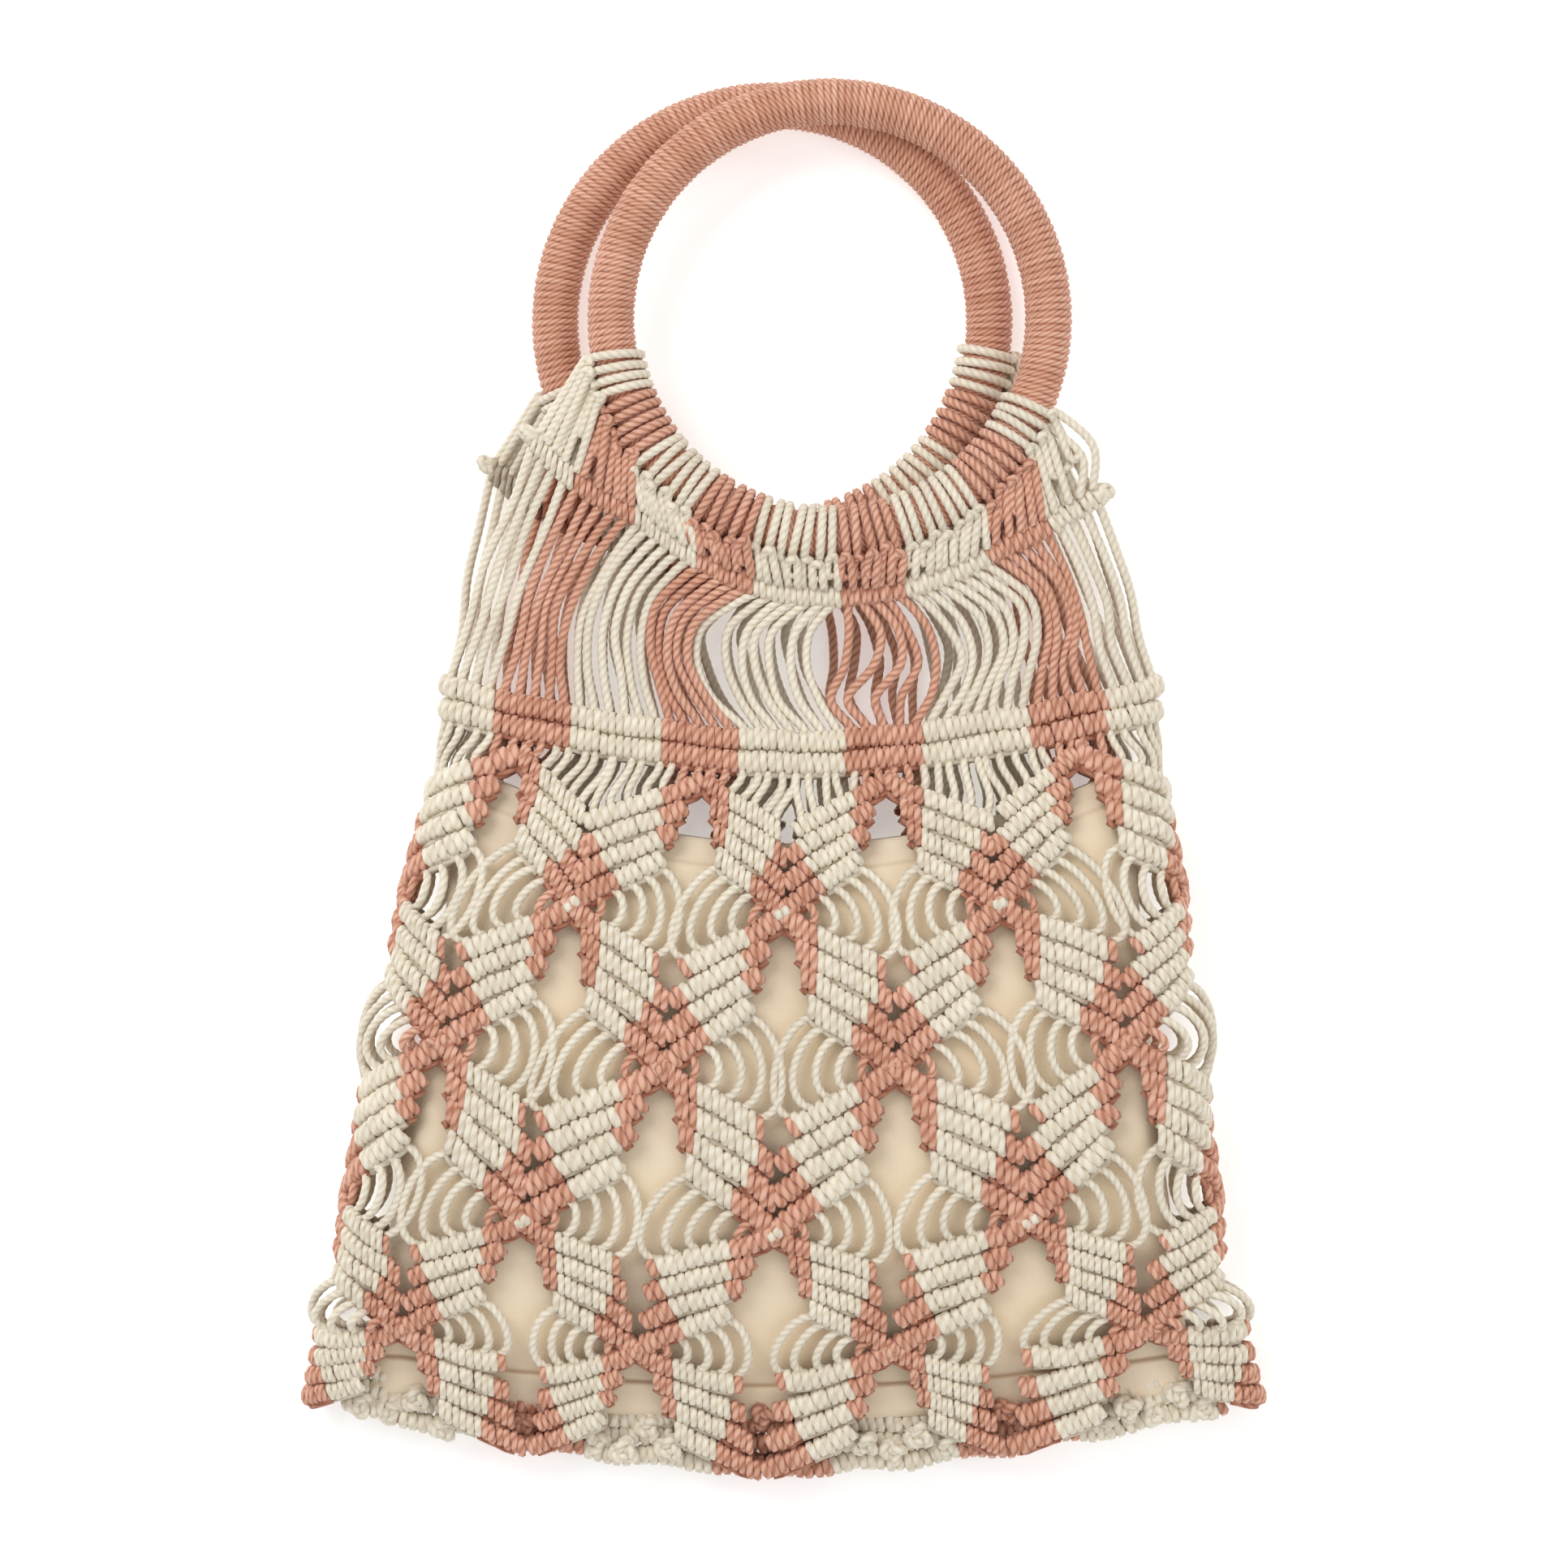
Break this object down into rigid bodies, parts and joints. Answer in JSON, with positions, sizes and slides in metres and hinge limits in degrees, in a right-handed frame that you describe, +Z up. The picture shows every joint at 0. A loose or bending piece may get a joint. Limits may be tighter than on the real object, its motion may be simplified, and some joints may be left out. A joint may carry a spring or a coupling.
{
  "type": "knotted cord tote bag with round ring handles",
  "caption": "Soft tote bag of diagonal knotted cord leaves over a cloth pouch, hung by cord loops from round wrapped ring handles, lying flat.",
  "frame": {"origin": "middle of the bounding box in X and Y, on the surface that the bag lies on", "axes": "+X to the bag's right seen from its front, +Y from its bottom to its handles, +Z up out of its front face"},
  "size_m": [0.3224, 0.4612, 0.0493],
  "materials": {
    "pink_cord": "matte twisted cotton",
    "cream_cord": "matte twisted cotton",
    "striped_cord": "matte twisted cotton in cream and pink stripes",
    "lining_cloth": "matte plain weave"
  },
  "bodies": {
    "root": {"handle_ring_front": "pink_cord", "mount_loops_front": "striped_cord", "collar_front": "striped_cord", "strands_front_1": "cream_cord", "strands_front_2": "pink_cord", "strands_front_3": "cream_cord", "strands_front_4": "pink_cord", "strands_front_5": "cream_cord", "strands_front_6": "pink_cord", "strands_front_7": "cream_cord", "strands_front_8": "pink_cord", "strands_front_9": "cream_cord", "band_front": "striped_cord", "net_front": "striped_cord", "handle_ring_back": "pink_cord", "mount_loops_back": "striped_cord", "collar_back": "striped_cord", "strands_back_1": "cream_cord", "strands_back_2": "pink_cord", "strands_back_3": "cream_cord", "strands_back_4": "pink_cord", "strands_back_5": "cream_cord", "strands_back_6": "pink_cord", "strands_back_7": "cream_cord", "strands_back_8": "pink_cord", "strands_back_9": "cream_cord", "band_back": "striped_cord", "net_back": "striped_cord", "bottom_seam": "striped_cord", "lining": "lining_cloth"}
  },
  "joints": []
}
